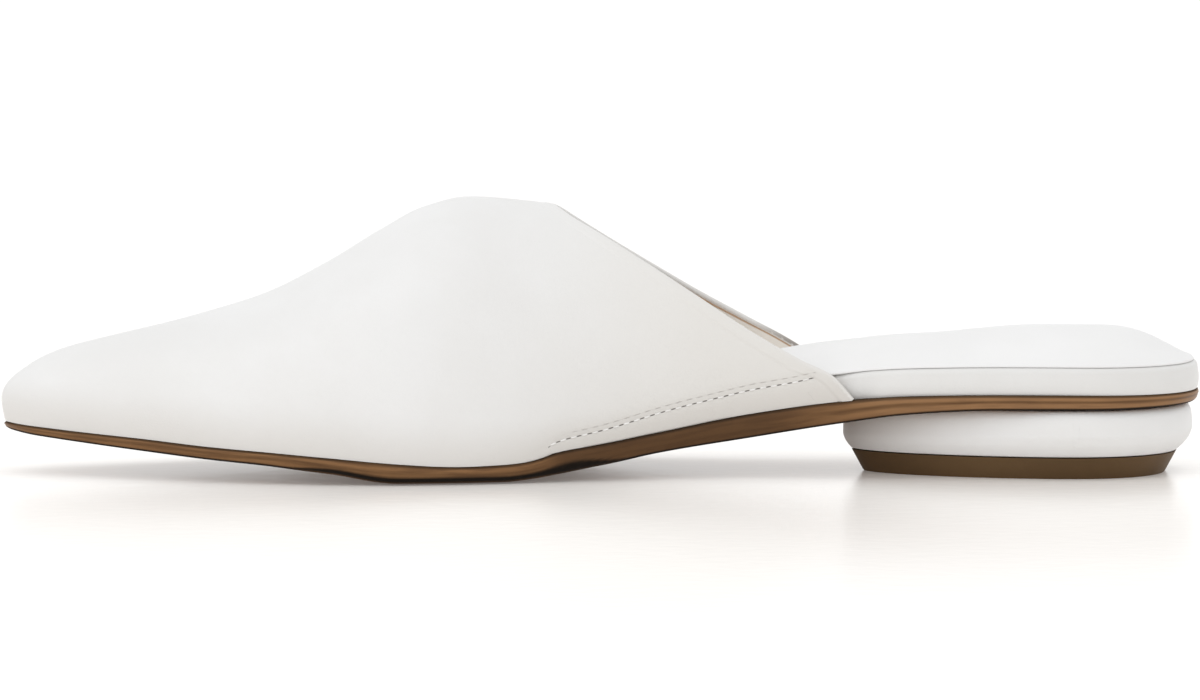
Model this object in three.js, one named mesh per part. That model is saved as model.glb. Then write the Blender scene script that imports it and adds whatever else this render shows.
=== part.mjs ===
// A right-foot mule: a pointed, closed toe with a full vamp, an open back, a cushioned insole and a
// low oval heel. Sizes are in millimetres.
//
// Every section is taken at a distance "at" forward of the back of the heel, on the shoe's centre
// line, which runs along +X to the toe. "inner" is the arch side (+Y on a right shoe), "outer" is the
// little-toe side (-Y), and heights are above the floor. The exported group puts the origin on the
// floor, under the middle of the whole shoe.
import * as THREE from "three";

// ---- driving dimensions ----
const SOLE_LENGTH = 265.2;
const SOLE_EDGE_ROUND = 1.5; // rounding of the sole's lower edge
const SOLE_TOP_BEVEL = 0.35;
const FIT_GAP = 0.3; // glue line between neighbouring pieces
const UPPER_WALL = 1.7; // leather and lining together
const UPPER_FOOT_INSET = 0.4; // how far the foot of the upper stands in from the sole's edge
const INSOLE_EDGE_ROUND = 1.2;
const INSOLE_TIP_TIGHTER = 1.5; // by how much its tip turns tighter than the sole's
const SOCK_RIM = 0.9; // thickness of the sock at its edge
const HEEL_BULGE = 3.4; // how far the covered heel swells past its own foot
const TOP_PIECE_HEIGHT = 4.8;
const TOP_PIECE_TAPER = 2.4; // how far its foot is drawn in all round
const TOP_PIECE_BEVEL = 0.4;
const TOP_PIECE_STEP = 0.1; // how far its top stands in from the heel's foot

// The toe of the upper, from the side: a rounded cap over this height, which begins this far back, and
// a bulge that carries it past the sole.
const TOE_CAP_BASE = 15;
const TOE_CAP_REACH = 18;
const TOE_CAP_POWER = 2.6;
const TOE_BULGE = { forward: 0.9, height: 12, reach: 22 };

// The sole's edge from above, as half-widths, and from the side, as heights.
const SOLE = [
  { at: 0, outer: 27.6, inner: 27.4, bottom: 15.9, top: 18.7 },
  { at: 25, outer: 28.9, inner: 28.6, bottom: 15.7, top: 19.0 },
  { at: 45, outer: 29.3, inner: 28.6, bottom: 15.7, top: 19.1 },
  { at: 64, outer: 28.9, inner: 27.0, bottom: 14.7, top: 18.7 },
  { at: 80, outer: 28.4, inner: 25.2, bottom: 12.5, top: 17.4 },
  { at: 100, outer: 28.8, inner: 23.7, bottom: 9.2, top: 14.5 },
  { at: 120, outer: 31.3, inner: 25.2, bottom: 6.0, top: 10.6 },
  { at: 134, outer: 34.0, inner: 28.2, bottom: 3.0, top: 8.0 },
  { at: 146, outer: 36.6, inner: 31.9, bottom: 0.8, top: 5.3 },
  { at: 154, outer: 38.0, inner: 34.4, bottom: 0, top: 4.2 },
  { at: 164, outer: 39.1, inner: 36.9, bottom: 0, top: 3.95 },
  { at: 178, outer: 38.9, inner: 38.6, bottom: 0, top: 4.7 },
  { at: 192, outer: 36.3, inner: 38.0, bottom: 2.0, top: 5.9 },
  { at: 206, outer: 31.7, inner: 35.5, bottom: 3.95, top: 7.0 },
  { at: 220, outer: 26.0, inner: 31.4, bottom: 5.1, top: 7.95 },
  { at: 235, outer: 18.9, inner: 26.1, bottom: 6.6, top: 9.3 },
  { at: 248, outer: 12.1, inner: 20.3, bottom: 7.9, top: 10.2 },
  { at: 258, outer: 6.6, inner: 15.6, bottom: 9.0, top: 11.0 },
  { at: SOLE_LENGTH, outer: 2.6, inner: 11.8, bottom: 9.9, top: 11.5 },
];

// The upper's sections: height of the crown, how far the crown leans to the inner side, height of the
// widest line above the sole, how far that line swells past the sole's outer and inner edge, how square
// the shoulders are (2 is an ellipse), and the share by which a section narrows towards its crown.
// Behind the throat the crown is that of the last, and the topline cuts it off.
const UPPER = [
  { at: 74, crown: 60.5, lean: 0, belly: 13, outer: 0.9, inner: 2.0, square: 2.0, pinch: 0.2 },
  { at: 110, crown: 60.5, lean: 1.5, belly: 13, outer: 1.0, inner: 2.3, square: 2.0, pinch: 0.19 },
  { at: 132, crown: 59.0, lean: 2.6, belly: 12, outer: 0.9, inner: 2.0, square: 2.0, pinch: 0.18 },
  { at: 140, crown: 59.1, lean: 3.0, belly: 11.5, outer: 0.85, inner: 1.8, square: 2.01, pinch: 0.17 },
  { at: 148, crown: 60.3, lean: 3.4, belly: 11, outer: 0.8, inner: 1.6, square: 2.02, pinch: 0.16 },
  { at: 162, crown: 61.4, lean: 4.2, belly: 10, outer: 0.7, inner: 1.3, square: 2.06, pinch: 0.14 },
  { at: 172, crown: 59.2, lean: 4.8, belly: 9, outer: 0.7, inner: 1.1, square: 2.1, pinch: 0.11 },
  { at: 182, crown: 53.9, lean: 5.2, belly: 9, outer: 0.6, inner: 1.0, square: 2.14, pinch: 0.08 },
  { at: 194, crown: 46.6, lean: 5.6, belly: 8, outer: 0.6, inner: 0.9, square: 2.2, pinch: 0.05 },
  { at: 208, crown: 39.9, lean: 5.8, belly: 7, outer: 0.6, inner: 0.8, square: 2.26, pinch: 0.02 },
  { at: 224, crown: 34.7, lean: 5.6, belly: 6, outer: 0.5, inner: 0.6, square: 2.32, pinch: 0 },
  { at: 244, crown: 29.8, lean: 5.0, belly: 5, outer: 0.4, inner: 0.5, square: 2.36, pinch: 0 },
  { at: SOLE_LENGTH, crown: 24.6, lean: 4.6, belly: 5, outer: 0.3, inner: 0.3, square: 2.36, pinch: 0 },
];

// The topline from the side, from the sole behind the wing up past the throat: its height on the
// inner wing and on the outer one, which is cut lower.
const TOPLINE = [
  { at: 76.7, inner: 17.8, outer: 14.4 },
  { at: 82, inner: 23.6, outer: 20.4 },
  { at: 88.5, inner: 27.2, outer: 24.8 },
  { at: 100, inner: 33.9, outer: 31.5 },
  { at: 111, inner: 41.0, outer: 37.9 },
  { at: 122, inner: 48.1, outer: 44.9 },
  { at: 133, inner: 54.7, outer: 52.3 },
  { at: 138.5, inner: 57.6, outer: 56.3 },
  { at: 143, inner: 59.8, outer: 59.4 },
  { at: 149, inner: 62, outer: 62 },
];

// The insole board: how far its edge is drawn in from the sole's, to clear the upper's wall from the
// wings forward, and its thickness.
const INSOLE = [
  { at: 0, inset: 0, thick: 5.9 },
  { at: 30, inset: 0.7, thick: 5.8 },
  { at: 62, inset: 1.0, thick: 5.8 },
  { at: 71, inset: 1.4, thick: 5.8 },
  { at: 75, inset: 2.6, thick: 5.7 },
  { at: 100, inset: 2.6, thick: 5.1 },
  { at: 125, inset: 2.6, thick: 4.2 },
  { at: 145, inset: 2.6, thick: 2.6 },
  { at: 165, inset: 2.6, thick: 2.0 },
  { at: SOLE_LENGTH, inset: 2.6, thick: 2.0 },
];

// The sock: its cushion's height above the rim on the centre line, and how far its edge is drawn in
// from the insole's. Between the wings it reaches past the insole, to meet the lining.
const SOCK = [
  { at: 0, crown: 6.1, inset: 0.9 },
  { at: 35, crown: 6.0, inset: 0.9 },
  { at: 60, crown: 4.3, inset: 0.9 },
  { at: 74, crown: 4.1, inset: 0.8 },
  { at: 84, crown: 4.3, inset: -0.7 },
  { at: 100, crown: 4.3, inset: -0.9 },
  { at: 125, crown: 3.5, inset: -0.6 },
  { at: 145, crown: 2.6, inset: 0.2 },
  { at: 180, crown: 1.2, inset: 0.4 },
  { at: SOLE_LENGTH, crown: 0.6, inset: 0.4 },
];
const SOCK_END_SLOPE = 16.5; // how far from its ends the cushion reaches its full height

// The covered heel: where it starts and ends, and how far its side is drawn in from its widest line,
// from its foot (rise 0) to the sole (rise 1).
const HEEL_START = 1.2;
const HEEL_END = 78.9;
const HEEL_SEAT_END = 25; // forward of here the heel narrows by its own rounding only
const HEEL_INSET_FROM_SOLE = 0.3;
const HEEL_FRONT_STEEPER = 0.45; // the share of that which the front face doesn't follow
const HEEL_SIDE = [
  { rise: 0, drawn: HEEL_BULGE },
  { rise: 0.12, drawn: 2.0 },
  { rise: 0.28, drawn: 0.7 },
  { rise: 0.48, drawn: 0 },
  { rise: 0.66, drawn: 0.05 },
  { rise: 0.82, drawn: 0.3 },
  { rise: 0.93, drawn: 0.8 },
  { rise: 1, drawn: 1.6 },
];

// ---- curves through the tables ----

// A smooth curve through one column of a table that never overshoots its rows: a cubic between each
// two rows, with slopes limited as Fritsch and Carlson give them.
function curve(rows, column, along = "at") {
  const x = rows.map((row) => row[along]);
  const y = rows.map((row) => row[column]);
  const last = rows.length - 1;
  const rise = x.slice(1).map((next, i) => (y[i + 1] - y[i]) / (next - x[i]));
  const slope = x.map((_, i) => {
    if (i === 0) return rise[0];
    if (i === last) return rise[last - 1];
    if (rise[i - 1] * rise[i] <= 0) return 0;
    return (2 * rise[i - 1] * rise[i]) / (rise[i - 1] + rise[i]);
  });
  return (at) => {
    const here = THREE.MathUtils.clamp(at, x[0], x[last]);
    let i = 0;
    while (i < last - 1 && here > x[i + 1]) i++;
    const span = x[i + 1] - x[i];
    const t = (here - x[i]) / span;
    const u = 1 - t;
    return (
      y[i] * u * u * (1 + 2 * t) +
      y[i + 1] * t * t * (3 - 2 * t) +
      span * t * u * (slope[i] * u - slope[i + 1] * t)
    );
  };
}

const soleOuter = curve(SOLE, "outer");
const soleInner = curve(SOLE, "inner");
const soleBottom = curve(SOLE, "bottom");
const soleTop = curve(SOLE, "top");

// How much of its full width a rounded end has, a distance "reach" before which the rounding starts.
function roundEnd(fromEnd, reach, power = 2) {
  if (fromEnd >= reach) return 1;
  return Math.pow(1 - Math.pow(1 - Math.max(fromEnd, 0) / reach, power), 1 / power);
}

// The same curve moved in by a wall: the lowest of the circles of that radius hung below it.
function movedIn(f, wall) {
  if (wall === 0) return f;
  const steps = 8;
  return (at) => {
    let lowest = Infinity;
    for (let i = -steps; i <= steps; i++) {
      const shift = Math.sin(((i / steps) * Math.PI) / 2);
      lowest = Math.min(lowest, f(at + wall * shift) - wall * Math.sqrt(1 - shift * shift));
    }
    return lowest;
  };
}

// ---- closed bodies ----

const triangles = (corners) => {
  const geometry = new THREE.BufferGeometry();
  geometry.setAttribute("position", new THREE.Float32BufferAttribute(corners.flat(2), 3));
  geometry.computeVertexNormals();
  return geometry;
};

// Two triangles for a four-sided patch. A side that has shrunk to a point leaves one of them out.
function patch(a, b, c, d) {
  const samePoint = 0.002;
  const apart = (p, q) => Math.hypot(p[0] - q[0], p[1] - q[1], p[2] - q[2]) > samePoint;
  const whole = ([p, q, r]) => apart(p, q) && apart(q, r) && apart(r, p);
  return [
    [a, b, c],
    [a, c, d],
  ].filter(whole);
}

// A body of stacked rings, from the lowest up. Each ring runs forward on the outer side and back on
// the inner side, with its points in facing pairs, so that the end rings close straight across.
function stack(rings) {
  const made = [];
  const count = rings[0].length;
  const half = count / 2;
  for (let k = 0; k + 1 < rings.length; k++) {
    for (let i = 0; i < count; i++) {
      const j = (i + 1) % count;
      made.push(...patch(rings[k][i], rings[k][j], rings[k + 1][j], rings[k + 1][i]));
    }
  }
  const [low, high] = [rings[0], rings[rings.length - 1]];
  for (let i = 0; i + 1 < half; i++) {
    const facing = count - 1 - i;
    made.push(...patch(low[facing], low[facing - 1], low[i + 1], low[i]));
    made.push(...patch(high[i], high[i + 1], high[facing - 1], high[facing]));
  }
  return triangles(made);
}

// Distances along a plan with rounded ends, close together where the ends turn.
function stations({ start, end, startRound, endRound }, inset, { turn = 7, run = 28 } = {}) {
  const [from, to] = [start + inset, end - inset];
  const [rear, front] = [startRound - inset, endRound - inset];
  const turned = (i) => 1 - Math.cos(((i / turn) * Math.PI) / 2);
  const found = [];
  for (let i = 0; i < turn; i++) found.push(from + rear * turned(i));
  for (let i = 0; i <= run; i++) {
    found.push(THREE.MathUtils.lerp(from + rear, to - front, i / run));
  }
  for (let i = turn - 1; i >= 0; i--) found.push(to - front * turned(i));
  return found;
}

// One ring of a plan: drawn in by "inset" all round, narrowed to "width" of itself, at a height that
// depends on the place.
function ring(plan, { inset = 0, width = 1, height, spacing }) {
  const outerSide = [];
  const innerSide = [];
  for (const at of stations(plan, inset, spacing)) {
    const rear = roundEnd(at - plan.start - inset, plan.startRound - inset, plan.startPower);
    const front = roundEnd(plan.end - inset - at, plan.endRound - inset, plan.endPower);
    const middle = (plan.inner(at) - plan.outer(at)) / 2;
    const half = (plan.outer(at) + plan.inner(at)) / 2 - inset;
    const reach = Math.max(half, 0) * rear * front * width;
    outerSide.push([at, middle - reach, height(at)]);
    innerSide.unshift([at, middle + reach, height(at)]);
  }
  return [...outerSide, ...innerSide];
}

const SOLE_PLAN = {
  start: 0,
  end: SOLE_LENGTH,
  startRound: 27,
  endRound: 7.5,
  startPower: 2.25,
  endPower: 2,
  outer: soleOuter,
  inner: soleInner,
};

// ---- the pieces ----

// A quarter circle, from the side of an edge (inset 0) to its face (short 0), as rings of an edge.
function roundedEdge(radius, steps) {
  return Array.from({ length: steps + 1 }, (_, i) => {
    const angle = ((i / steps) * Math.PI) / 2;
    return { inset: radius * (1 - Math.cos(angle)), short: radius * (1 - Math.sin(angle)) };
  });
}

// The leather sole: flat across, thin at the toe, thick under the waist, with its lower edge rounded by
// no more than half its thickness.
function outsole() {
  const flatter = (at) => Math.min(1, (soleTop(at) - soleBottom(at)) / (2 * SOLE_EDGE_ROUND));
  const edge = roundedEdge(SOLE_EDGE_ROUND, 3).reverse();
  return stack([
    ...edge.map(({ inset, short }) =>
      ring(SOLE_PLAN, { inset, height: (at) => soleBottom(at) + short * flatter(at) }),
    ),
    ring(SOLE_PLAN, { height: (at) => soleTop(at) - SOLE_TOP_BEVEL }),
    ring(SOLE_PLAN, { inset: SOLE_TOP_BEVEL, height: soleTop }),
  ]);
}

const insoleInset = curve(INSOLE, "inset");
const insoleThick = curve(INSOLE, "thick");
const insoleTop = (at) => soleTop(at) + FIT_GAP + insoleThick(at);

// The insole's outline, drawn in by a further inset that depends on the place.
function insolePlan(inset) {
  return {
    start: insoleInset(0) + inset(0),
    end: SOLE_LENGTH - insoleInset(SOLE_LENGTH) - inset(SOLE_LENGTH),
    startRound: SOLE_PLAN.startRound - inset(0),
    endRound: SOLE_PLAN.endRound - INSOLE_TIP_TIGHTER,
    startPower: SOLE_PLAN.startPower,
    endPower: SOLE_PLAN.endPower,
    outer: (at) => soleOuter(at) - insoleInset(at) - inset(at),
    inner: (at) => soleInner(at) - insoleInset(at) - inset(at),
  };
}

// The insole board, covered in leather, whose edge shows as a band behind the wings.
function insole() {
  const plan = insolePlan(() => 0);
  const spacing = { turn: 7, run: 40 };
  return stack([
    ring(plan, { spacing, height: (at) => soleTop(at) + FIT_GAP }),
    ...roundedEdge(INSOLE_EDGE_ROUND, 2).map(({ inset, short }) =>
      ring(plan, { spacing, inset, height: (at) => insoleTop(at) - short }),
    ),
  ]);
}

// The cushioned sock on the insole: thin at its rim and crowned across, most of all under the heel.
function sock() {
  const crown = curve(SOCK, "crown");
  const plan = insolePlan(curve(SOCK, "inset"));
  const foot = (at) => insoleTop(at) + FIT_GAP;
  const { smoothstep } = THREE.MathUtils;
  const full = (at) =>
    smoothstep(at, plan.start, plan.start + SOCK_END_SLOPE) *
    smoothstep(plan.end - at, 0, SOCK_END_SLOPE);
  const domed = (width) => (at) => foot(at) + SOCK_RIM + crown(at) * full(at) * (1 - width * width);
  const widths = [1, 0.93, 0.82, 0.66, 0.46, 0.22];
  return stack([
    ring(plan, { height: foot }),
    ...widths.map((width) => ring(plan, { width, height: domed(width) })),
  ]);
}

const heelOutline = {
  start: HEEL_START,
  end: HEEL_END,
  startRound: SOLE_PLAN.startRound,
  endRound: 52, // an egg's long end, forward from the widest line
  startPower: SOLE_PLAN.startPower,
  endPower: 1.65,
  outer: (at) => soleOuter(Math.min(at, HEEL_SEAT_END)) - HEEL_INSET_FROM_SOLE,
  inner: (at) => soleInner(Math.min(at, HEEL_SEAT_END)) - HEEL_INSET_FROM_SOLE,
};
const HEEL_SPACING = { turn: 9, run: 8 };

// The heel's outline drawn in by "inset", by less at the steep front face.
function heelRing(inset, height) {
  const kept = HEEL_FRONT_STEEPER * Math.min(inset, HEEL_BULGE);
  return ring({ ...heelOutline, end: HEEL_END + kept }, { spacing: HEEL_SPACING, inset, height });
}

// The heel block, covered in leather and swollen like a cushion between the sole and the top piece.
function heel() {
  const foot = TOP_PIECE_HEIGHT + FIT_GAP;
  return stack(
    HEEL_SIDE.map(({ rise, drawn }) =>
      heelRing(drawn, (at) => THREE.MathUtils.lerp(foot, soleBottom(at) - FIT_GAP, rise)),
    ),
  );
}

// The top piece that meets the floor, narrower at its foot.
function topPiece() {
  const level = (inset, height) => heelRing(HEEL_BULGE + inset, () => height);
  return stack([
    level(TOP_PIECE_TAPER + TOP_PIECE_BEVEL, 0),
    level(TOP_PIECE_TAPER, TOP_PIECE_BEVEL),
    level(TOP_PIECE_STEP, TOP_PIECE_HEIGHT),
  ]);
}

// A point of the upper: "at" along the shoe and "round" from the inner edge (-1) over the crown (0) to
// the outer edge (1). Above its widest line the section is part of a superellipse. Below it, it curves
// in to the sole. "wall" moves the surface in from the outside of the leather.
function upperSurface(wall) {
  const [lean, belly, square, pinch, body] = ["lean", "belly", "square", "pinch", "crown"].map(
    (name) => curve(UPPER, name),
  );
  const toTip = (at) => SOLE_LENGTH - at;
  const plump = (at) => roundEnd(toTip(at), SOLE_PLAN.endRound);
  const half = (at) => (soleOuter(at) + soleInner(at)) / 2 - UPPER_FOOT_INSET;
  const widthOf = (swell) => movedIn((at) => (half(at) + swell(at)) * plump(at), wall);
  const foot = widthOf(() => 0);
  const widest = { outer: widthOf(curve(UPPER, "outer")), inner: widthOf(curve(UPPER, "inner")) };
  const capped = (at) => TOE_CAP_BASE + (body(at) - TOE_CAP_BASE) * roundEnd(toTip(at), TOE_CAP_REACH, TOE_CAP_POWER);
  const crown = movedIn(capped, wall);
  const middleOf = (at) => (soleInner(at) - soleOuter(at)) / 2;
  const widestAt = 0.8; // where the widest line lies on the way from the crown to the sole
  const highestBelly = 0.45; // it stays below this share of the section's height
  return (at, round) => {
    const [name, side] = round < 0 ? ["inner", 1] : ["outer", -1]; // +Y on the inner side
    const down = Math.abs(round);
    const low = soleTop(at) + FIT_GAP;
    const high = Math.max(crown(at), low + 1);
    const middling = low + Math.min(belly(at), highestBelly * (high - low));
    const full = Math.max(widest[name](at), 0);
    const narrow = THREE.MathUtils.clamp(foot(at), 0, full);
    let [y, z] = [0, 0];
    if (down < widestAt) {
      const angle = ((down / widestAt) * Math.PI) / 2;
      const power = 2 / square(at);
      const ridge = THREE.MathUtils.lerp(middleOf(SOLE_LENGTH), lean(at), plump(at)) - middleOf(at);
      const leaning = ridge * Math.min(full / (half(at) + 1), 1);
      // The lean and the narrowing are strongest at the crown, and gone at the widest line.
      const aloft = Math.cos(angle) ** 2;
      y = side * full * Math.pow(Math.sin(angle), power) * (1 - pinch(at) * aloft) + leaning * aloft;
      z = middling + (high - middling) * Math.pow(Math.cos(angle), power);
    } else {
      const under = (down - widestAt) / (1 - widestAt);
      y = side * THREE.MathUtils.lerp(full, narrow, under * under);
      z = THREE.MathUtils.lerp(middling, low, under);
    }
    const { forward, height, reach } = TOE_BULGE;
    const bulge = Math.sin(Math.PI * THREE.MathUtils.clamp((z - low) / height, 0, 1));
    const share = roundEnd(reach - toTip(at), reach);
    return [at + forward * bulge * share, middleOf(at) + y, z];
  };
}

// Where a line along the upper meets the topline, whose two heights blend across the crown.
function toplineAt(surface, round) {
  const [inner, outer] = ["inner", "outer"].map((column) => curve(TOPLINE, column));
  const outerShare = THREE.MathUtils.smoothstep(round, -0.1, 0.25);
  const height = (at) => THREE.MathUtils.lerp(inner(at), outer(at), outerShare);
  const above = (at) => surface(at, round)[2] - height(at);
  const [margin, halvings] = [6, 30];
  let [rear, front] = [TOPLINE[0].at - margin, TOPLINE[TOPLINE.length - 1].at + margin];
  for (let i = 0; i < halvings; i++) {
    const middle = (rear + front) / 2;
    if (above(middle) > 0) rear = middle;
    else front = middle;
  }
  return (rear + front) / 2;
}

// The upper: one wall, open at the topline and underneath, where the insole and sole close it. Its
// grid runs from the toe's tip to the topline, and from the inner edge over the crown to the outer.
function upper() {
  const across = 40;
  const along = 30;
  const sheet = (wall) => {
    const surface = upperSurface(wall);
    return Array.from({ length: across + 1 }, (_, j) => {
      const round = (2 * j) / across - 1;
      const end = toplineAt(surface, round);
      return Array.from({ length: along + 1 }, (_, i) => {
        const forward = Math.cos(((i / along) * Math.PI) / 2); // closest together at the tip
        return surface(THREE.MathUtils.lerp(end, SOLE_LENGTH - wall, forward), round);
      });
    });
  };
  const outside = sheet(0);
  const inside = sheet(UPPER_WALL);
  const made = [];
  for (let j = 0; j < across; j++) {
    const [a, b, c, d] = [outside[j], outside[j + 1], inside[j], inside[j + 1]];
    for (let i = 0; i < along; i++) {
      made.push(...patch(a[i], a[i + 1], b[i + 1], b[i]));
      made.push(...patch(d[i], d[i + 1], c[i + 1], c[i]));
    }
    made.push(...patch(a[along], c[along], d[along], b[along])); // the topline's edge
  }
  // the two feet, from the tip back to the wings
  const [innerOut, innerIn, outerOut, outerIn] = [outside[0], inside[0], outside[across], inside[across]];
  for (let i = 0; i < along; i++) {
    made.push(...patch(innerIn[i], innerIn[i + 1], innerOut[i + 1], innerOut[i]));
    made.push(...patch(outerOut[i], outerOut[i + 1], outerIn[i + 1], outerIn[i]));
  }
  return triangles(made);
}

// ---- the shoe ----

const whiteLeather = { color: 0xf1f0ee, roughness: 0.5, metalness: 0 };
const PIECES = [
  { name: "upper", geometry: upper(), look: whiteLeather },
  { name: "insole", geometry: insole(), look: whiteLeather },
  { name: "sock", geometry: sock(), look: { ...whiteLeather, roughness: 0.6 } },
  { name: "outsole", geometry: outsole(), look: { color: 0x8a5d3b, roughness: 0.6, metalness: 0 } },
  { name: "heel", geometry: heel(), look: whiteLeather },
  { name: "top_piece", geometry: topPiece(), look: { color: 0x5b452f, roughness: 0.6, metalness: 0 } },
];

const shoe = new THREE.Group();
for (const { name, geometry, look } of PIECES) {
  const mesh = new THREE.Mesh(geometry, new THREE.MeshStandardMaterial(look));
  mesh.name = name;
  shoe.add(mesh);
}
const box = new THREE.Box3().setFromObject(shoe, true);
const middle = box.getCenter(new THREE.Vector3());
shoe.position.set(-middle.x, -middle.y, -box.min.z);

const mule = new THREE.Group();
mule.add(shoe);
export default mule;
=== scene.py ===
import math
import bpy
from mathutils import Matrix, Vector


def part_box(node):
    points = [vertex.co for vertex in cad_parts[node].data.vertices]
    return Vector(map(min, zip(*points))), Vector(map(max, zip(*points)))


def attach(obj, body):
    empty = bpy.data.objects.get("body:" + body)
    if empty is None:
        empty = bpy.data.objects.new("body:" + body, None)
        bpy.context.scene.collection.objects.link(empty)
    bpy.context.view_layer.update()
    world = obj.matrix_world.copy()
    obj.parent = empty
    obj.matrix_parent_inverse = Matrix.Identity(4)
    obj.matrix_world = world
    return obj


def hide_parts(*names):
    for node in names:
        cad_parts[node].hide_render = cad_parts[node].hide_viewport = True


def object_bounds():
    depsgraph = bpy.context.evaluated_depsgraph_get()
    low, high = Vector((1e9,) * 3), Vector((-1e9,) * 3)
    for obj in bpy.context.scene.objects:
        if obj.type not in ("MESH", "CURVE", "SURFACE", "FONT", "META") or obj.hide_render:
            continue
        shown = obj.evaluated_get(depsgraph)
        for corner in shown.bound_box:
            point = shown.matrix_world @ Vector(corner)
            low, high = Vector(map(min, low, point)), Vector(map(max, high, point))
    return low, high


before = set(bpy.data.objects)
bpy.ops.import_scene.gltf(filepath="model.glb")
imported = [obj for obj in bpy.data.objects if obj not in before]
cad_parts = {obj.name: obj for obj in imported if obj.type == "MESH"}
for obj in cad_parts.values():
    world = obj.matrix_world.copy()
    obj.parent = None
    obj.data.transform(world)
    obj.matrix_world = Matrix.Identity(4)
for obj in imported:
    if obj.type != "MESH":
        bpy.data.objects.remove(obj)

from types import SimpleNamespace

import bmesh
import bpy
import numpy as np
from mathutils import Vector

# A right-foot mule, toe along +X and arch side along +Y. The shoe's own sizes are in millimetres: "at" is
# how far forward of the sole's back end a place is, "side" how far to the arch side, and "up" how far above
# the floor. The pieces are put in the frame in metres.
cad_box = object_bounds()

# ---- the view ----
# A long lens looks at the shoe's inner side from a little above, with the toe to the left. What it takes
# in is just wider than the shoe.
shoe_length = cad_box[1].x - cad_box[0].x
widths_in_view = 1.0038
view_width = widths_in_view * shoe_length
view_distance = 5.0
view_elevation = math.radians(5)
view_target = Vector((0, 0, 0.0268))
lens = bpy.data.cameras.new("camera")
lens.lens = lens.sensor_width * view_distance / view_width
lens.clip_start, lens.clip_end = 0.1, 60
camera = bpy.data.objects.new("camera", lens)
toward = Vector((0, -math.cos(view_elevation), -math.sin(view_elevation)))
camera.location = view_target - view_distance * toward
camera.rotation_mode = "QUATERNION"
camera.rotation_quaternion = toward.to_track_quat("-Z", "Y")
bpy.context.scene.collection.objects.link(camera)
bpy.context.scene.camera = camera

# ---- the outsole ----
# A leather sole, cut flat and stained brown. It is thin under the toes and thick under the waist; its
# edge is trimmed round underneath and inked dark along the top.


def table(columns, *rows):
    """Rows of sizes under named columns, the first of which says where along the piece a row is."""
    return np.array(list(rows), dtype=[(column, float) for column in columns.split()])


SOLE = table(
    "at outer inner bottom top",
    (0, 27.6, 27.4, 15.9, 18.7),
    (25, 28.9, 28.6, 15.7, 19.0),
    (45, 29.3, 28.6, 15.7, 19.1),
    (64, 28.9, 27.0, 14.7, 18.7),
    (80, 28.4, 25.2, 12.5, 17.4),
    (100, 28.8, 23.7, 9.2, 14.5),
    (120, 31.3, 25.2, 6.0, 10.6),
    (134, 34.0, 28.2, 3.0, 8.0),
    (140, 35.3, 30.0, 1.8, 7.1),
    (143, 36.0, 31.0, 1.3, 6.5),
    (146, 36.6, 31.9, 0.8, 5.4),
    (149, 37.2, 32.9, 0.4, 4.7),
    (154, 38.0, 34.4, 0, 4.2),
    (164, 39.1, 36.9, 0, 3.95),
    (178, 38.9, 38.6, 0, 4.7),
    (192, 36.3, 38.0, 2.0, 5.9),
    (206, 31.7, 35.5, 3.95, 7.0),
    (220, 26.0, 31.4, 5.1, 7.95),
    (235, 18.9, 26.1, 6.6, 9.3),
    (248, 12.1, 20.3, 7.9, 10.2),
    (258, 6.6, 15.6, 9.0, 11.0),
    (265.2, 2.6, 11.8, 9.9, 11.5),
)
SOLE_LENGTH = SOLE["at"][-1]


def curve(rows, column):
    """A smooth function through one column of a table. Between two rows it is a cubic; its slope at a
    row is the harmonic mean of the rises on both sides, or 0 where they differ in sign, so that it
    never overshoots the rows."""
    x, y = rows[rows.dtype.names[0]], rows[column]
    rise = np.diff(y) / np.diff(x)
    before, after = rise[:-1], rise[1:]
    steady = before * after > 0
    between = np.where(steady, 2 * before * after / np.where(steady, before + after, 1), 0)
    slope = np.concatenate([rise[:1], between, rise[-1:]])

    def value(at):
        here = np.clip(at, x[0], x[-1])
        i = np.clip(np.searchsorted(x, here) - 1, 0, len(x) - 2)
        span = x[i + 1] - x[i]
        t = (here - x[i]) / span
        u = 1 - t
        ends = y[i] * u * u * (1 + 2 * t) + y[i + 1] * t * t * (3 - 2 * t)
        return ends + span * t * u * (slope[i] * u - slope[i + 1] * t)

    return value


def smooth(value, low, high):
    """0 below low, 1 above high, and 3t² - 2t³ between them, where t is the share of the way."""
    t = np.clip((value - low) / (high - low), 0, 1)
    return t * t * (3 - 2 * t)


def round_end(from_end, reach, power=2.0):
    """The share of its full width that a rounded end has at a distance d from the end, up to a reach r:
    (1 - (1 - d/r)^p)^(1/p), which is a quarter circle for p = 2."""
    short = 1 - np.clip(from_end / reach, 0, 1)
    return (1 - short**power) ** (1 / power)


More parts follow.
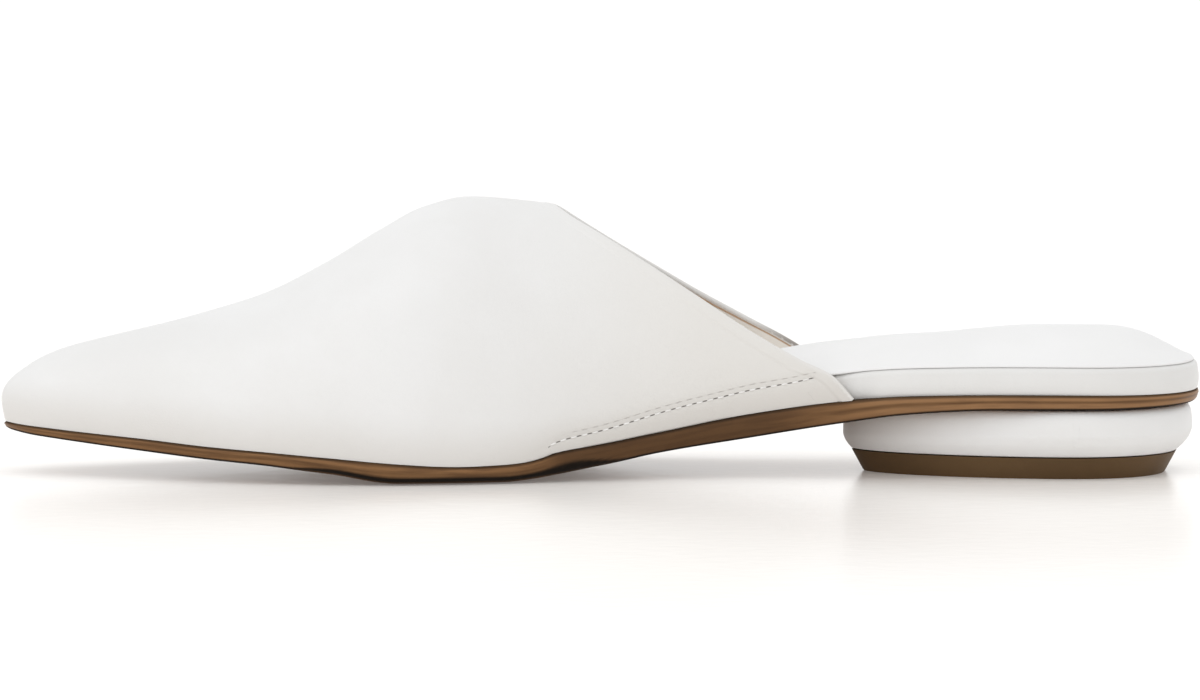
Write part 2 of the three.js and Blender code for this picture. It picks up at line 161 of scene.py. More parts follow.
def outline(plan, inset, width=1.0, turn=30, run=130):
    """Closed outlines of a plan, one for each value of inset and width, as two arrays of points: how far
    forward, and how far to the inner side. A point lies at the middle of the two half-widths, and half
    their sum away from it, less the inset, times the rounding of both ends and the share of width. The
    stations are close together where the ends turn, at r (1 - cos angle) from each end in a number of
    steps, turn, and evenly spaced over the run between them."""
    inset, width = np.broadcast_arrays(np.reshape(inset, (-1, 1)), np.reshape(width, (-1, 1)))
    rear, front = plan.start_round - inset, plan.end_round - inset
    low, high = plan.start + inset, plan.end - inset
    turned = 1 - np.cos(np.linspace(0, np.pi / 2, turn + 1)[:-1])
    straight = np.linspace(0, 1, run + 1) * (high - front - low - rear)
    at = np.concatenate([low + rear * turned, low + rear + straight, (high - front * turned)[:, ::-1]], 1)
    ends = round_end(at - low, rear, plan.start_power) * round_end(high - at, front, plan.end_power)
    outer, inner = plan.outer(at), plan.inner(at)
    reach = np.maximum((outer + inner) / 2 - inset, 0) * ends * width
    middle = (inner - outer) / 2
    there_and_back = np.concatenate([middle - reach, (middle + reach)[:, -2::-1]], 1)
    return np.concatenate([at, at[:, -2::-1]], 1), there_and_back


def rounded_edge(radius, steps=8):
    """A quarter circle round an edge: how far it stands in from the side, and how far short of the face,
    as radius (1 - cos angle) and radius (1 - sin angle)."""
    angle = np.linspace(0, np.pi / 2, steps + 1)
    return radius * (1 - np.cos(angle)), radius * (1 - np.sin(angle))


sole_outer, sole_inner = curve(SOLE, "outer"), curve(SOLE, "inner")
sole_bottom, sole_top = curve(SOLE, "bottom"), curve(SOLE, "top")

# Where the tables' zero lies in the frame: the back of the sole, and the line its half-widths start from.
# Points that are nearer to each other than a few millionths of a metre are one point.
MM = 1000
ONE_POINT = 2e-6
sole_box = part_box("outsole")
heel_back = sole_box[0].x * MM
side_shift = sole_box[1].y * MM - sole_inner(np.linspace(0, SOLE_LENGTH, 2000)).max()


def piece(name, sheets, material, sharp=50, **marks):
    """Joins sheets of points into one closed mesh in the frame. A sheet is rows by columns of places in
    millimetres, four neighbours make a face, and points that coincide are merged. A mark is a number
    for each point, which the material reads as an attribute."""
    faces, first = [], 0
    for sheet in sheets:
        index = first + np.arange(sheet.shape[0] * sheet.shape[1]).reshape(sheet.shape[:2])
        corners = [index[:-1, :-1], index[:-1, 1:], index[1:, 1:], index[1:, :-1]]
        faces.append(np.stack(corners, -1).reshape(-1, 4))
        first += index.size
    points = np.concatenate([sheet.reshape(-1, 3) for sheet in sheets])
    places = (points + [heel_back, side_shift, 0]) / MM
    mesh = bpy.data.meshes.new(name)
    mesh.from_pydata(places.tolist(), [], np.concatenate(faces).tolist())
    for label, values in marks.items():
        layer = mesh.attributes.new(label, "FLOAT", "POINT")
        layer.data.foreach_set("value", np.concatenate([v.ravel() for v in values]).astype(np.float32))
    solid = bmesh.new()
    solid.from_mesh(mesh)
    bmesh.ops.remove_doubles(solid, verts=solid.verts, dist=ONE_POINT)
    bmesh.ops.recalc_face_normals(solid, faces=solid.faces)
    solid.to_mesh(mesh)
    solid.free()
    mesh.shade_smooth()
    mesh.set_sharp_from_angle(angle=math.radians(sharp))
    mesh.materials.append(material)
    made = bpy.data.objects.new(name, mesh)
    bpy.context.scene.collection.objects.link(made)
    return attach(made, "root")


def join(tree, value, socket):
    """Links a socket to an input, or sets the input to a number or colour."""
    if isinstance(value, bpy.types.NodeSocket):
        tree.links.new(value, socket)
    else:
        socket.default_value = (*value, 1) if socket.type == "RGBA" else value


def node(tree, kind, out=0, settings=(), **inputs):
    """A shader node with its settings and named inputs. Returns one of its outputs."""
    made = tree.nodes.new("ShaderNode" + kind)
    for setting, value in dict(settings).items():
        setattr(made, setting, value)
    for label, value in inputs.items():
        join(tree, value, made.inputs[label.replace("_", " ")])
    return made.outputs[out]


def maths(tree, operation, *values):
    """A Math node on sockets or numbers."""
    made = tree.nodes.new("ShaderNodeMath")
    made.operation = operation
    for value, socket in zip(values, made.inputs):
        join(tree, value, socket)
    return made.outputs[0]


def ramp(tree, value, low, high, start=0.0, end=1.0):
    """A smooth step from start, at or below low, to end, at or above high."""
    made = tree.nodes.new("ShaderNodeMapRange")
    made.interpolation_type = "SMOOTHSTEP"
    for given, socket in zip((value, low, high, start, end), made.inputs):
        join(tree, given, socket)
    return made.outputs[0]


def mixed(tree, share, one, other):
    """The first colour where share is 0, and the second where it is 1."""
    made = tree.nodes.new("ShaderNodeMix")
    made.data_type = "RGBA"
    colours = [socket for socket in made.inputs if socket.type == "RGBA"]
    for value, socket in zip((share, one, other), [made.inputs["Factor"], *colours]):
        join(tree, value, socket)
    return next(socket for socket in made.outputs if socket.type == "RGBA")


def mark(tree, name):
    """A piece's mark of that name, as a number that changes over its surface."""
    return node(tree, "Attribute", out=2, settings={"attribute_name": name})


def effect(name, inputs, outputs):
    """A new node group of named inputs and number outputs. Returns its tree, the inputs' sockets, and
    the outputs' sockets to link to."""
    tree = bpy.data.node_groups.new(name, "ShaderNodeTree")
    for label, kind in inputs.items():
        tree.interface.new_socket(label, in_out="INPUT", socket_type="NodeSocket" + kind)
    for label in outputs:
        tree.interface.new_socket(label, in_out="OUTPUT", socket_type="NodeSocketFloat")
    return tree, tree.nodes.new("NodeGroupInput").outputs, tree.nodes.new("NodeGroupOutput").inputs


# What every leather of the shoe has: pores with fine creases between them, and slow changes of tone. A
# crease takes up a share of its pore, and the pores' depth changes over a few of them.
crease_share, pores_alike = 0.3, 5
leather_skin, given, wanted = effect(
    "leather_skin", {"Place": "Vector", "Pore": "Float", "Patch": "Float"}, ["Height", "Tone"]
)
cells = node(
    leather_skin, "TexVoronoi", settings={"feature": "DISTANCE_TO_EDGE"}, Vector=given["Place"],
    Scale=maths(leather_skin, "DIVIDE", 1, given["Pore"]),
)
depth = node(
    leather_skin, "TexNoise", Vector=given["Place"], Detail=2.0,
    Scale=maths(leather_skin, "DIVIDE", 1 / pores_alike, given["Pore"]),
)
tone = node(
    leather_skin, "TexNoise", Vector=given["Place"], Detail=4.0,
    Scale=maths(leather_skin, "DIVIDE", 1, given["Patch"]),
)
domed = ramp(leather_skin, cells, 0, crease_share)
join(leather_skin, maths(leather_skin, "MULTIPLY", domed, depth), wanted["Height"])
join(leather_skin, tone, wanted["Tone"])


def leather(name, colour, deeper, roughness, pore=0.0007, pore_depth=0.00002, patch=0.03, uneven=0.05):
    """A leather finish: its colour wanders between two, its roughness with it by a little to both sides,
    and its pores are a bump of pore_depth metres. Returns the material's parts, for a section to add
    to."""
    material = bpy.data.materials.new(name)
    material.use_nodes = True
    tree = material.node_tree
    shader = tree.nodes["Principled BSDF"]
    place = node(tree, "TexCoord", out=3)
    skin = tree.nodes.new("ShaderNodeGroup")
    skin.node_tree = leather_skin
    for label, value in {"Place": place, "Pore": pore, "Patch": patch}.items():
        join(tree, value, skin.inputs[label])
    made = SimpleNamespace(material=material, tree=tree, shader=shader, place=place)
    made.colour = mixed(tree, ramp(tree, skin.outputs["Tone"], 0.35, 0.65), colour, deeper)
    made.height = skin.outputs["Height"]
    made.bump = tree.nodes.new("ShaderNodeBump")
    made.bump.inputs["Distance"].default_value = pore_depth
    join(tree, made.colour, shader.inputs["Base Color"])
    join(tree, made.height, made.bump.inputs["Height"])
    join(tree, made.bump.outputs["Normal"], shader.inputs["Normal"])
    rough = ramp(tree, skin.outputs["Tone"], 0.2, 0.8, roughness - uneven, roughness + uneven)
    join(tree, rough, shader.inputs["Roughness"])
    return made


# The seat's rounding, which the heel, the insole and the sock follow, and the tip's. Neighbouring pieces
# stay a fit gap apart.
SEAT_ROUND, SEAT_POWER = 27, 2.25
TIP_ROUND = 7.5
FIT_GAP = 0.3
SOLE_PLAN = SimpleNamespace(
    start=0, end=SOLE_LENGTH, start_round=SEAT_ROUND, end_round=TIP_ROUND, start_power=SEAT_POWER,
    end_power=2, outer=sole_outer, inner=sole_inner,
)
SOLE_EDGE_ROUND = 1.5
BALL_ROUND_HIGHER, BALL_ROUND_WIDER = 0.35, 4.5
SOLE_TOP_BEVEL = 0.35
SOLE_EDGE_BELLY = 0.2

# Rows of points from the middle of the underside, round the lower edge, up the side and back to the
# middle of the top. The lower edge is drawn in further under the ball.
lower_in, lower_short = (values[::-1, None] for values in rounded_edge(SOLE_EDGE_ROUND))
side_up = np.linspace(0, 1, 9)[1:, None]
across = np.array([0, 0.3, 0.6, 0.85])[:, None]
belly = -SOLE_EDGE_BELLY * np.sin(np.pi * side_up)
beneath, above = np.full_like(across, SOLE_EDGE_ROUND), np.full_like(across, SOLE_TOP_BEVEL)
at, side = outline(
    SOLE_PLAN,
    np.concatenate([beneath, lower_in, belly, [[SOLE_TOP_BEVEL]], above]),
    np.concatenate([across, np.ones((len(lower_in) + len(side_up) + 1, 1)), across[::-1]]),
)
flatter = np.minimum(1, (sole_top(at) - sole_bottom(at)) / (2 * SOLE_EDGE_ROUND))
under_ball = smooth(at, 126, 140) * (1 - smooth(at, 190, 204))
rounded_high = (SOLE_EDGE_ROUND + BALL_ROUND_HIGHER * under_ball) * flatter
edge_foot = sole_bottom(at) + rounded_high
edge_top = sole_top(at) - SOLE_TOP_BEVEL
under = len(across)
edge = under + len(lower_in)
top = edge + len(side_up)
up = sole_bottom(at)
up[under:edge] += lower_short / SOLE_EDGE_ROUND * rounded_high[under:edge]
drawn_under = np.zeros_like(at)
drawn_under[:under] = across
drawn_under[under:edge] = lower_in / SOLE_EDGE_ROUND
middle = (sole_inner(at) - sole_outer(at)) / 2
middle_calm = 10
side -= BALL_ROUND_WIDER * under_ball * drawn_under * np.clip((side - middle) / middle_calm, -1, 1)
up[edge:top] = edge_foot[edge:top] + side_up * (edge_top - edge_foot)[edge:top]
up[top:] = sole_top(at)[top:]
share_up = np.clip((up - sole_bottom(at)) / (sole_top(at) - sole_bottom(at)), 0, 1)

stained = leather("brown_sole_leather", (0.235, 0.121, 0.05), (0.195, 0.098, 0.04), 0.4, pore=0.0011)
stained.shader.inputs["Specular IOR Level"].default_value = 0.15
tree = stained.tree
layers = maths(tree, "MULTIPLY", mark(tree, "layer"), 5.0)
run_lengthwise = node(tree, "CombineXYZ", X=mark(tree, "along"), Y=layers)
streaks = node(tree, "TexNoise", Vector=run_lengthwise, Scale=1.0, Detail=3.0)
on_edge = ramp(tree, mark(tree, "layer"), 0, 0.15)
streaked = maths(tree, "MULTIPLY", ramp(tree, streaks, 0.4, 0.66, 0, 0.75), on_edge)
grained = mixed(tree, streaked, stained.colour, (0.125, 0.061, 0.025))
# Painted shade: the waist's edge and a band along the middle of the edge are darker.
waxed = mixed(tree, mark(tree, "waxed"), grained, (0.06, 0.028, 0.01))
# Painted highlight: the seat's edge is lighter above and below the middle band.
polished = mixed(tree, mark(tree, "polished"), waxed, (0.42, 0.235, 0.115))
# Ink along the top line, and painted shade, nearly black, along the lower edge.
inked_over = mixed(tree, mark(tree, "inked"), polished, (0.008, 0.005, 0.003))
join(tree, inked_over, stained.shader.inputs["Base Color"])
join(tree, ramp(tree, mark(tree, "inked"), 0, 1, 0.4, 0.85), stained.shader.inputs["Roughness"])

# Ink runs along the top line. Along the lower edge a dark line is painted shade: it stands highest under
# the ball and just behind it, and thins where the edge meets the floor under the ball. The waist's edge and
# the shade of a shallow groove along the middle of the edge are painted darker, and the seat's edge is
# painted lighter as a highlight.
foot_line, ball_line, behind_line = 0.5, 1.4, 0.9
ink_height, ink_fade = 1.2, 0.45
behind_at, behind_half = 138, 7
top_ink, ball_worn = 0.75, 0.8
waist_wax, groove_wax, seat_polish = 0.75, 0.4, 0.3
streak_pitch, other_side = 0.09, 40
above_foot = up - sole_bottom(at)
below_top = sole_top(at) - up
behind_ball = np.exp(-(((at - behind_at) / behind_half) ** 2))
foot_ink = foot_line + ball_line * under_ball + behind_line * behind_ball
worn = ball_worn * under_ball * (1 - smooth(above_foot, 0.1, 0.9))
lower_line = smooth(ink_height * foot_ink - above_foot, 0, ink_fade * foot_ink) * (1 - worn)
upper_line = top_ink * (1 - smooth(below_top, 0.28, 0.5))
waist = smooth(at, 76, 100) * (1 - smooth(at, 141, 147))
groove = smooth(share_up, 0.42, 0.56) * (1 - smooth(share_up, 0.6, 0.74))
seat = 1 - smooth(at, 66, 84)
edge_only = share_up > 0
outsole = piece(
    "outsole_leather", [np.stack([at, side, up], -1)], stained.material,
    inked=[np.where(edge_only, np.maximum(lower_line, upper_line), 0)],
    waxed=[np.where(edge_only, np.maximum(waist_wax * waist, groove_wax * groove), 0)],
    polished=[np.where(edge_only, seat_polish * seat * (1 - groove), 0)],
    along=[at * streak_pitch + np.where(side > 0, 0, other_side)],
    layer=[share_up],
)
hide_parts("outsole")

# ---- the heel ----
# A low block, cut to the seat's outline and swollen at its sides like a cushion. It is wrapped in the
# upper's white leather, whose edges are drawn under the sole and over the top piece.
TOP_PIECE_HEIGHT = 4.8
HEEL_START, HEEL_END = 1.2, 78.9
HEEL_FRONT_ROUND, HEEL_FRONT_POWER = 52, 1.65
HEEL_SIDE_INSET = 0.3
HEEL_BULGE = 3.4
HEEL_SEAT_END = 25
HEEL_FRONT_STEEPER = 0.45
HEEL_SIDE = table(
    "rise drawn",
    (0, HEEL_BULGE), (0.12, 2.0), (0.28, 0.7), (0.48, 0), (0.66, 0.05), (0.82, 0.3), (0.93, 0.8), (1, 1.6),
)


def heel_half(half):
    """A half-width of the heel: the sole's, held as it is at the seat's widest and drawn in a little."""
    return lambda at: half(np.minimum(at, HEEL_SEAT_END)) - HEEL_SIDE_INSET


def heel_outline(inset, width=1.0):
    """The heel's outline drawn in by an inset, by less at its steep front."""
    inset = np.reshape(inset, (-1, 1)).astype(float)
    plan = SimpleNamespace(
        start=HEEL_START, end=HEEL_END + HEEL_FRONT_STEEPER * np.minimum(inset, HEEL_BULGE),
        start_round=SEAT_ROUND, end_round=HEEL_FRONT_ROUND, start_power=SEAT_POWER,
        end_power=HEEL_FRONT_POWER, outer=heel_half(sole_outer), inner=heel_half(sole_inner),
    )
    return outline(plan, inset, width, turn=34, run=40)


rise = np.linspace(0, 1, 30)[:, None]
drawn = curve(HEEL_SIDE, "drawn")(rise)
inner_widths = np.array([0, 0.4, 0.75])[:, None]
foot_cap, head_cap = np.full_like(inner_widths, drawn[0, 0]), np.full_like(inner_widths, drawn[-1, 0])
at, side = heel_outline(
    np.concatenate([foot_cap, drawn, head_cap]),
    np.concatenate([inner_widths, np.ones_like(rise), inner_widths[::-1]]),
)
rises = np.concatenate([foot_cap * 0, rise, head_cap * 0 + 1])
heel_foot = TOP_PIECE_HEIGHT + FIT_GAP
up = heel_foot + rises * (sole_bottom(at) - FIT_GAP - heel_foot)
white = (0.78, 0.78, 0.778)
white_deeper = (0.755, 0.752, 0.745)
heel_leather = leather("white_heel_leather", white, white_deeper, 0.4)
heel = piece("heel_cover", [np.stack([at, side, up], -1)], heel_leather.material)
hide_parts("heel")

# ---- the top piece ----
# The hard-wearing layer that meets the floor, cut from dark brown rubber. Its side is ground to
# a slope, so that its foot is smaller than its head.
taper, bevel = 2.4, 0.4
side_inset, head_inset = 0.1, 0.4
levels = np.linspace(0, 1, 7)[:, None]
widths = np.array([0, 0.4, 0.75])[:, None]
ground = taper * (1 - levels) + side_inset
foot, head = widths * 0 + taper + bevel, widths * 0 + head_inset
at, side = heel_outline(
    HEEL_BULGE + np.concatenate([foot, foot[:1], ground, head]),
    np.concatenate([widths, np.ones((len(levels) + 1, 1)), widths[::-1]]),
)
climb = bevel + levels * (TOP_PIECE_HEIGHT - bevel)
up = np.broadcast_to(np.concatenate([widths * 0, [[0]], climb, widths * 0 + TOP_PIECE_HEIGHT]), at.shape)
rubber = leather("brown_top_piece", (0.112, 0.064, 0.026), (0.094, 0.053, 0.021), 0.55, pore=0.0004)
rubber.shader.inputs["Specular IOR Level"].default_value = 0.2
top_piece = piece("top_piece_rubber", [np.stack([at, side, up], -1)], rubber.material)
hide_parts("top_piece")

# ---- the insole ----
# A board as long as the shoe, thick under the heel, with white leather wrapped over its edge. The edge
# shows as a plain band behind the wings.
INSOLE = table(
    "at inset thick",
    (0, 0, 5.9), (30, 0.7, 5.8), (62, 1.0, 5.8), (71, 1.4, 5.8), (75, 2.6, 5.7), (100, 2.6, 5.1),
    (125, 2.6, 4.2), (145, 2.6, 2.6), (165, 2.6, 2.0), (SOLE_LENGTH, 2.6, 2.0),
)
insole_inset, insole_thick = curve(INSOLE, "inset"), curve(INSOLE, "thick")
glue_gap, insole_tip_round = 0.08, 6


def insole_foot(at):
    """The height at which the insole and the upper are glued to the sole."""
    return sole_top(at) + glue_gap


def insole_top(at):
    """The height of the covered insole."""
    return sole_top(at) + FIT_GAP + insole_thick(at)


def insole_plan(further):
    """The insole's outline, drawn in by a further inset that depends on the place."""

    def drawn_in(half):
        return lambda at: half(at) - insole_inset(at) - further(at)

    return SimpleNamespace(
        start=insole_inset(0) + further(0),
        end=SOLE_LENGTH - insole_inset(SOLE_LENGTH) - further(SOLE_LENGTH),
        start_round=SEAT_ROUND - further(0), end_round=insole_tip_round,
        start_power=SEAT_POWER, end_power=2, outer=drawn_in(sole_outer), inner=drawn_in(sole_inner),
    )


edge_round, edge_belly, foot_tuck = 1.5, 0.25, 0.1
head_in, head_short = (values[:, None] for values in rounded_edge(edge_round))
side_up = np.linspace(0, 1, 12)[:, None]
belly = foot_tuck * (1 - smooth(side_up, 0, 0.1)) - edge_belly * np.sin(np.pi * side_up)
widths = np.array([0, 0.35, 0.7, 0.9])[:, None]
at, side = outline(
    insole_plan(lambda at: 0 * at),
    np.concatenate([widths * 0 + foot_tuck, belly, head_in, widths * 0 + edge_round]),
    np.concatenate([widths, np.ones((len(side_up) + len(head_in), 1)), widths[::-1]]),
)
side_row = len(widths)
head_row = side_row + len(side_up)
flat_row = head_row + len(head_in)
low, high = insole_foot(at), insole_top(at)
up = high.copy()
up[:side_row] = low[:side_row]
side_height = (high - low - edge_round)[side_row:head_row]
up[side_row:head_row] = low[side_row:head_row] + side_up * side_height
up[head_row:flat_row] -= head_short
band_leather = leather("white_insole_leather", (0.735, 0.732, 0.722), (0.715, 0.71, 0.698), 0.4)
insole = piece("insole_cover", [np.stack([at, side, up], -1)], band_leather.material)
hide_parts("insole")

# ---- the sock ----
# A foam cushion under a sheet of soft white leather, glued on the insole. It is thin at its edge and
# crowned across, most of all under the heel.
SOCK = table(
    "at crown inset",
    (0, 6.75, 0.9), (35, 6.65, 0.9), (60, 4.95, 0.9), (74, 4.75, 0.8), (84, 4.9, -0.7), (100, 4.9, -0.9),
    (125, 4.1, -0.6), (145, 3.2, 0.2), (180, 1.8, 0.4), (SOLE_LENGTH, 1.2, 0.4),
)
sock_crown, sock_inset = curve(SOCK, "crown"), curve(SOCK, "inset")
sock_gap, sock_rim, rim_round, rim_inset = 0.05, 0.55, 0.35, 0.1
end_reach, end_power, end_ease = 22, 1.4, 3


def end_rise(from_end):
    """The share of its crown that the cushion has at a distance d from its end: 1 - (1 - t^p)^e, where
    t is the share of the reach that d is, up to 1, p is the power and e the ease."""
    return 1 - (1 - np.clip(from_end / end_reach, 0, 1) ** end_power) ** end_ease


plan = insole_plan(sock_inset)
rim_in, rim_short = (values[:, None] for values in rounded_edge(rim_round, 6))
widths = np.concatenate([np.linspace(1, 0.9, 5)[1:], np.linspace(0.9, 0, 17)[1:]])[:, None]
foot_widths = np.array([0, 0.4, 0.8])[:, None]
at, side = outline(
    plan,
    np.concatenate([foot_widths * 0 + rim_inset, [[rim_inset]], [[0]], rim_in, widths * 0 + rim_round]),
    np.concatenate([foot_widths, np.ones((len(rim_in) + 2, 1)), widths]),
)
full = end_rise(at - plan.start) * end_rise(plan.end - at)
rise = np.concatenate([foot_widths * 0, [[0]], [[rim_inset]], sock_rim - rim_short, widths * 0 + sock_rim])
share = np.concatenate([np.ones((len(foot_widths) + len(rim_in) + 2, 1)), widths])
up = insole_top(at) + sock_gap + rise + sock_crown(at) * full * (1 - share**2)
sock_leather = leather("white_sock_leather", (0.82, 0.82, 0.82), (0.8, 0.8, 0.798), 0.45, pore=0.0008)
sock = piece("sock_cushion", [np.stack([at, side, up], -1)], sock_leather.material)
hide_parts("sock")

# ---- the upper ----
# One piece of smooth white leather, lasted over a pointed toe and high over the instep. It is turned
# over along the topline, and behind the ball of the foot its two wings are stitched down to the insole.
UPPER = table(
    "at crown lean belly outer inner square pinch",
    (74, 60.5, 0, 13, 0.9, 2.0, 2.0, 0.2),
    (110, 60.5, 1.5, 13, 1.0, 2.3, 2.0, 0.19),
    (132, 59.0, 2.6, 12, 0.9, 2.0, 2.0, 0.18),
    (140, 59.1, 3.0, 11.5, 0.85, 1.8, 2.01, 0.17),
    (148, 60.3, 3.4, 11, 0.8, 1.6, 2.02, 0.16),
    (162, 61.4, 4.2, 10, 0.7, 1.3, 2.06, 0.14),
    (172, 59.2, 4.8, 9, 0.7, 1.1, 2.1, 0.11),
    (182, 53.9, 5.2, 9, 0.6, 1.0, 2.14, 0.08),
    (194, 46.6, 5.6, 8, 0.6, 0.9, 2.2, 0.05),
    (208, 39.9, 5.8, 7, 0.6, 0.8, 2.26, 0.02),
    (224, 34.7, 5.6, 6, 0.5, 0.6, 2.32, 0),
    (244, 29.8, 5.0, 5, 0.4, 0.5, 2.36, 0),
    (SOLE_LENGTH, 24.6, 4.6, 5, 0.3, 0.3, 2.36, 0),
)
TOPLINE = table(
    "at inner outer",
    (76.7, 17.8, 14.4), (82, 23.4, 20.4), (88.5, 26.5, 25.2), (100, 33.2, 31.7), (111, 40.4, 37.9),
    (122, 47.5, 44.8), (133, 54.1, 52.1), (138.5, 57.1, 56.0), (143, 59.5, 59.1), (149, 62, 62),
)
upper_columns = {name: curve(UPPER, name) for name in UPPER.dtype.names[1:]}
cap_base, cap_reach, cap_power, foot_in = 15, 18, 2.6, 0.4
toe_forward, toe_high, toe_reach = 0.9, 12, 22
widest_at, belly_share = 0.8, 0.45
least_high, lean_ease = 1, 1


def moved_in(f, at, wall):
    """The curve f moved in by a wall: the lowest of the circles of that radius hung below it, as the
    least of f(at + wall sin a) - wall cos a."""
    angles = np.linspace(-np.pi / 2, np.pi / 2, 17)
    return np.min([f(at + wall * np.sin(a)) - wall * np.cos(a) for a in angles], axis=0) if wall else f(at)


def belly_of(at, low, high):
    """The height of a section's widest line above its foot."""
    return np.minimum(upper_columns["belly"](at), belly_share * (high - low))


def crown_of(at, wall=0.0):
    """The height of a section's crown, rounded off towards the tip."""
    body = upper_columns["crown"]

    def capped(a):
        return cap_base + (body(a) - cap_base) * round_end(SOLE_LENGTH - a, cap_reach, cap_power)

    return moved_in(capped, at, wall)


def upper_skin(at, around, wall=0.0):
    """The upper's surface, or the one inside it by a wall. around runs from the inner edge (-1) over the
    crown (0) to the outer edge (1). Above the widest line a section is part of a superellipse:
    y = w sin(a)^(2/n) and z = b + (c - b) cos(a)^(2/n), with y drawn in by the pinch and shifted by
    the lean in the share cos(a)². Below it, y goes from the widest to the foot as the square of the
    way down."""
    at, around = np.broadcast_arrays(np.asarray(at, float), np.asarray(around, float))
    column = {name: f(at) for name, f in upper_columns.items()}

    def half(a):
        return (sole_outer(a) + sole_inner(a)) / 2 - foot_in

    def plump(a):
        return round_end(SOLE_LENGTH - a, TIP_ROUND)

    widths = {
        name: moved_in(lambda a: (half(a) + upper_columns[name](a)) * plump(a), at, wall)
        for name in ("inner", "outer")
    }
    full = np.maximum(np.where(around < 0, widths["inner"], widths["outer"]), 0)
    narrow = np.clip(moved_in(lambda a: half(a) * plump(a), at, wall), 0, full)
    low = insole_foot(at)
    high = np.maximum(crown_of(at, wall), low + least_high)
    middling = low + belly_of(at, low, high)
    down = np.abs(around)
    angle = np.minimum(down / widest_at, 1) * np.pi / 2
    aloft = np.cos(angle) ** 2
    power = 2 / column["square"]
    side_of = np.where(around < 0, 1.0, -1.0)
    middle = (sole_inner(at) - sole_outer(at)) / 2
    tip_middle = (sole_inner(SOLE_LENGTH) - sole_outer(SOLE_LENGTH)) / 2
    ridge = tip_middle + (column["lean"] - tip_middle) * plump(at) - middle
    leaning = ridge * np.minimum(full / (half(at) + lean_ease), 1)
    y = side_of * full * np.sin(angle) ** power * (1 - column["pinch"] * aloft) + leaning * aloft
    z = middling + (high - middling) * np.maximum(np.cos(angle), 0) ** power
    under = np.clip((down - widest_at) / (1 - widest_at), 0, 1)
    below = down >= widest_at
    y = np.where(below, side_of * (full + (narrow - full) * under**2), y)
    z = np.where(below, middling + (low - middling) * under, z)
    bulge = np.sin(np.pi * np.clip((z - low) / toe_high, 0, 1))
    forward = toe_forward * bulge * round_end(toe_reach - (SOLE_LENGTH - at), toe_reach)
    return np.stack([at + forward, middle + y, z], -1)


def topline_at(around, rearmost=70.0, foremost=155.0, halvings=30):
    """How far forward a line along the upper meets the topline, found by halving. The topline's two
    heights blend over the crown."""
    share = smooth(around, -0.1, 0.25)
    inner, outer = curve(TOPLINE, "inner"), curve(TOPLINE, "outer")
    rear, front = np.full_like(around, rearmost), np.full_like(around, foremost)
    for _ in range(halvings):
        middle = (rear + front) / 2
        above = upper_skin(middle, around)[..., 2] > inner(middle) + (outer(middle) - inner(middle)) * share
        rear, front = np.where(above, middle, rear), np.where(above, front, middle)
    return middle


def unit(vectors):
    """Each vector divided by its length."""
    return vectors / np.maximum(np.linalg.norm(vectors, axis=-1, keepdims=True), 1e-9)


def skin_frame(at, around, step=0.05, turn=0.001):
    """The place on the upper, the directions forward and across there from a small step each way, and
    the normal, their product."""
    ahead = unit(upper_skin(at + step, around) - upper_skin(at - step, around))
    aside = unit(upper_skin(at, around + turn) - upper_skin(at, around - turn))
    return upper_skin(at, around), ahead, aside, unit(np.cross(aside, ahead))


# The row of stitches along each wing: how far above the upper's foot it runs. A hole is an oval.
WING_ROW = table(
    "at up",
    (85.1, 6.1), (90.2, 5.6), (99, 5.4), (106.2, 5.0), (116.2, 4.6), (131.3, 3.1), (141.8, 2.4), (146, 1.5),
)
stitch_pitch = 2.4
hole_half_long, hole_half_high = 0.62, 0.15
row_up = curve(WING_ROW, "up")
row_start, row_end = WING_ROW["at"][[0, -1]]


def around_of(at, up, side_sign):
    """Where round a section a height above its foot lies, below its widest line."""
    low, high = insole_foot(at), crown_of(at)
    return side_sign * (1 - (1 - widest_at) * up / belly_of(at, low, high))


# The leather's soft troughs and ridges: where the middle of each is, how it runs (0 is forward, 90 is
# down the outer side), its half-length and half-width, and how far it rises.
CREASES = table(
    "at around turn long wide rise",
    (206, -0.12, 80, 26, 9, -0.25),
    (188, -0.42, 62, 22, 6, 0.16),
    (172, -0.5, 60, 24, 6, -0.16),
    (118, -0.52, 38, 20, 5, 0.14),
    (128, -0.6, 40, 22, 6, -0.14),
    (204, 0.38, 100, 22, 8, -0.2),
    (176, 0.5, 118, 24, 7, 0.16),
    (124, 0.56, 140, 22, 6, -0.16),
    (236, -0.3, 30, 20, 6, 0.1),
)


def soft_creases(places, skin_deep=14):
    """How far the creases lift the leather at some places: the sum of rise exp(-(u/long)² - (v/wide)²
    - (w/deep)²), where u runs along a crease, v across it and w away from the leather."""
    lift = np.zeros(places.shape[:-1])
    for crease in CREASES:
        middle, ahead, aside, outward = skin_frame(crease["at"], crease["around"])
        turn = math.radians(crease["turn"])
        along = math.cos(turn) * ahead + math.sin(turn) * aside
        away = places - middle
        u = away @ along / crease["long"]
        v = away @ np.cross(outward, along) / crease["wide"]
        w = away @ outward / skin_deep
        lift += crease["rise"] * np.exp(-(u**2) - v**2 - w**2)
    return lift


